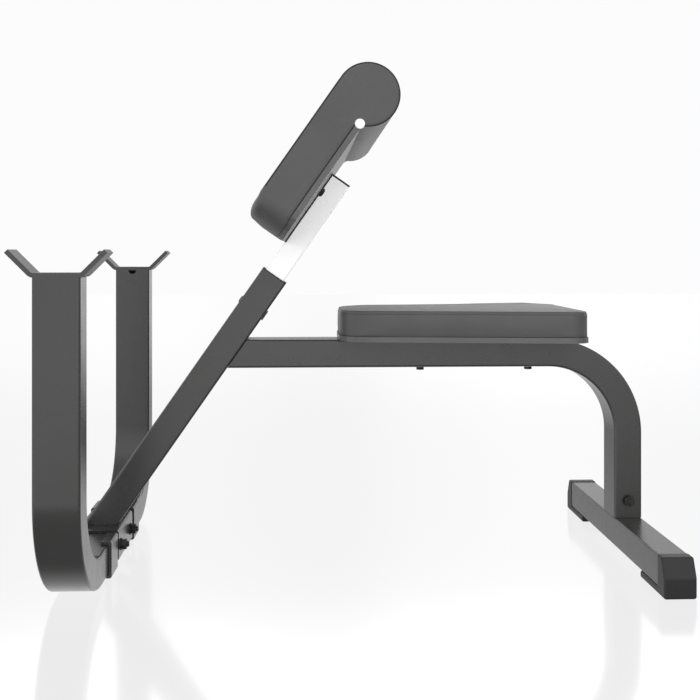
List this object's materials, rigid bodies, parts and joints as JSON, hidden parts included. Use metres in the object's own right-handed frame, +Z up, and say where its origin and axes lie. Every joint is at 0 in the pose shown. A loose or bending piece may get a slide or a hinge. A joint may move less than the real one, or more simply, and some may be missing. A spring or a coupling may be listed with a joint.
{
  "type": "preacher curl bench",
  "caption": "Preacher curl bench with a slanted rolled arm pad on a height-adjustable post, a padded seat, a wide U-shaped bar rack with V catches and a low rear foot.",
  "frame": {"origin": "on the floor, under the middle of the bench's overall length and width", "axes": "+X from the bar rack to the rear foot, +Y to the user's right as they sit facing the arm pad, +Z up"},
  "size_m": [1.0438, 0.754, 0.8334],
  "materials": {
    "frame_paint": "satin powder coat",
    "white_paint": "satin",
    "black_steel": "black oxide",
    "black_plastic": "matte",
    "white_plastic": "satin",
    "board_vinyl": "plywood under vinyl",
    "cushion_vinyl": "fine-grained vinyl"
  },
  "bodies": {
    "frame": {"rack_tube": "frame_paint", "bar_catch_left": "frame_paint", "bar_catch_right": "frame_paint", "rack_foot_clip_left": "frame_paint", "rack_foot_clip_right": "frame_paint", "post_saddle": "frame_paint", "post_sleeve": "frame_paint", "seat_rail": "frame_paint", "rear_foot_tube": "frame_paint", "rear_foot_stub": "frame_paint", "saddle_side_bolt_left": "black_steel", "saddle_side_bolt_right": "black_steel", "saddle_side_washer_left": "black_steel", "saddle_side_washer_right": "black_steel", "saddle_side_nut_left": "black_steel", "saddle_side_nut_right": "black_steel", "saddle_top_bolt_left": "black_steel", "saddle_top_bolt_right": "black_steel", "saddle_top_nut_left": "black_steel", "saddle_top_nut_right": "black_steel", "clamp_bolt": "black_steel", "clamp_barrel_nut": "black_steel", "leg_bolt": "black_steel", "leg_nut": "black_steel", "leg_washer_left": "black_steel", "leg_washer_right": "black_steel", "seat_bolt_front": "black_steel", "seat_bolt_rear": "black_steel", "seat_washer_front": "black_steel", "seat_washer_rear": "black_steel", "seat_tee_nut_front": "black_steel", "seat_tee_nut_rear": "black_steel", "sleeve_bush": "black_plastic", "foot_cap_left": "black_plastic", "foot_cap_right": "black_plastic", "seat_board": "board_vinyl", "seat_cushion": "cushion_vinyl"},
    "arm_pad_carrier": {"pad_post": "white_paint", "post_top_cap": "black_plastic", "post_glide": "black_plastic", "pad_wing_left": "black_steel", "pad_wing_right": "black_steel", "pad_bolt_left": "black_steel", "pad_bolt_right": "black_steel", "pad_tee_nut_left": "black_steel", "pad_tee_nut_right": "black_steel", "arm_pad_board": "board_vinyl", "arm_pad_cushion": "cushion_vinyl", "pad_edge_plug_left": "white_plastic", "pad_edge_plug_right": "white_plastic"}
  },
  "joints": [
    {"name": "arm_pad_height", "type": "slide", "parent": "frame", "child": "arm_pad_carrier", "axis": [0.5721, 0, 0.8202], "range_m": [-0.05, 0.05]}
  ]
}
